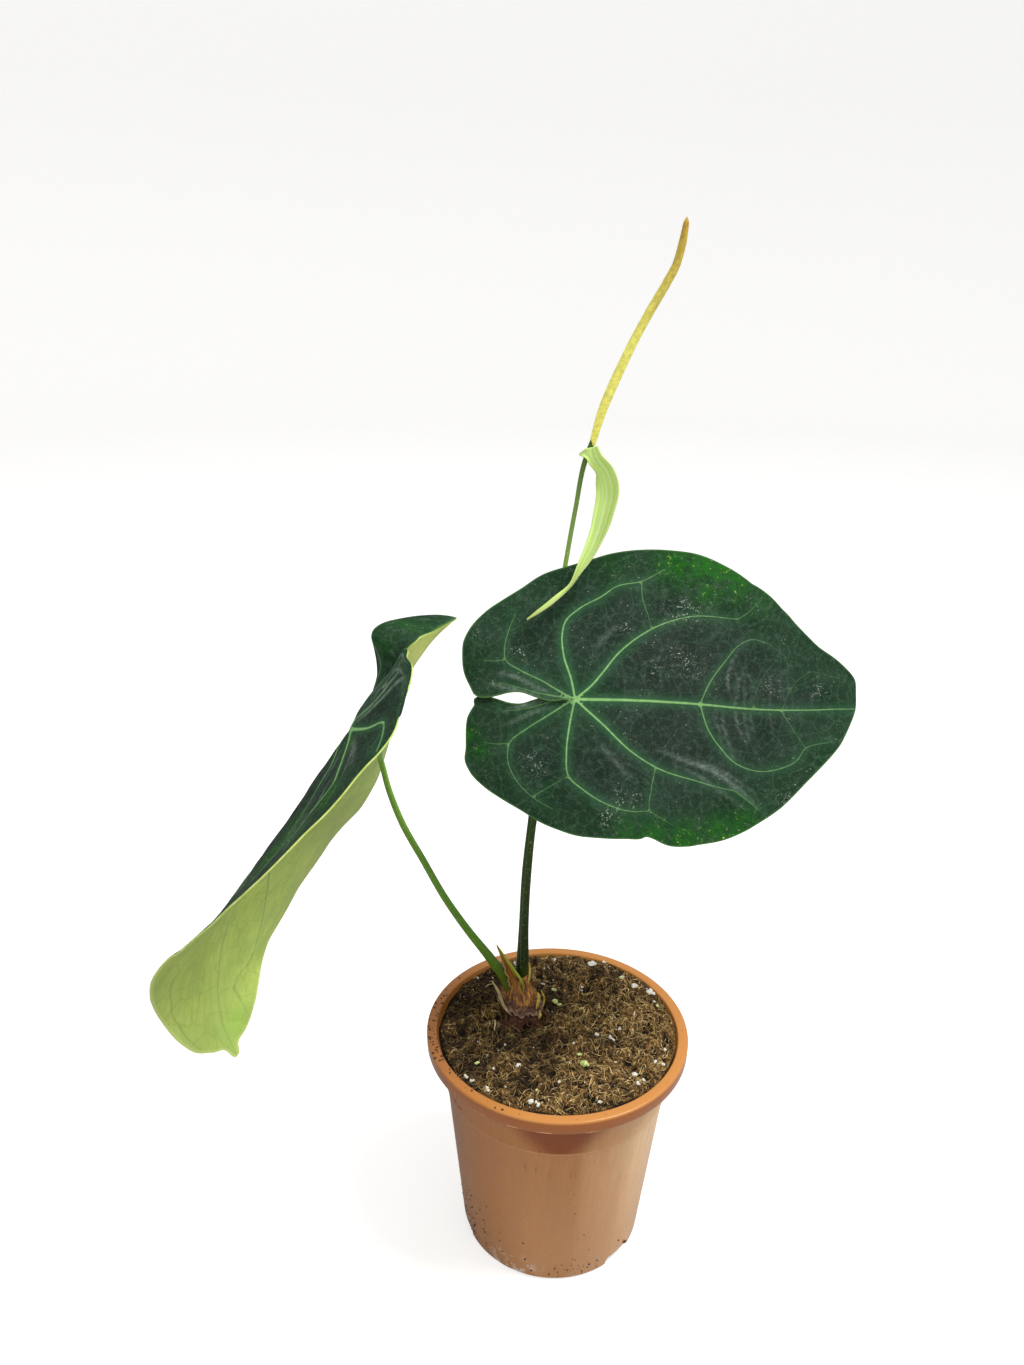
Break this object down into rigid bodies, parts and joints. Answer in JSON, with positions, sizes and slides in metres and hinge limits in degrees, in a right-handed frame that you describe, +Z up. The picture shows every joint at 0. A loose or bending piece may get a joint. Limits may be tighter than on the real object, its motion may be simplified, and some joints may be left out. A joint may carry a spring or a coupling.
{
  "type": "potted anthurium",
  "caption": "Young velvet-leaved anthurium in a plain round nursery pot of soil, with heart-shaped leaves on long stalks and a slender bloom with a hanging bract.",
  "frame": {"origin": "centre of the pot's flat foot", "axes": "+Z up along the pot's axis, -Y the front, which the larger leaf's upper face and the stem's side nearer the pot's left look to, +X to the right"},
  "size_m": [0.2723, 0.1749, 0.4556],
  "materials": {
    "terracotta_plastic": "moulded terracotta-coloured plastic, satin, lightly scuffed near the foot",
    "peat": "damp peat and fibre, matt and lumpy",
    "dry_sheath": "dry papery leaf bases, brown",
    "young_sheath": "waxy yellow-green",
    "bright_stalk": "smooth waxy bright green",
    "dark_stalk": "smooth waxy dark green",
    "peduncle": "smooth green, darker towards the bloom",
    "velvet_blade": "velvety dark green above with pale veins, pale green below",
    "bract": "thin pale yellow-green, faintly veined",
    "spadix": "matt yellow, finely pebbled"
  },
  "bodies": {
    "root": {"pot": "terracotta_plastic", "soil": "peat", "stem_base": "dry_sheath", "young_sheath": "young_sheath", "petiole_left": "bright_stalk", "petiole_right": "dark_stalk", "peduncle": "peduncle", "blade_left": "velvet_blade", "blade_right": "velvet_blade", "spathe": "bract", "spadix": "spadix"}
  },
  "joints": []
}
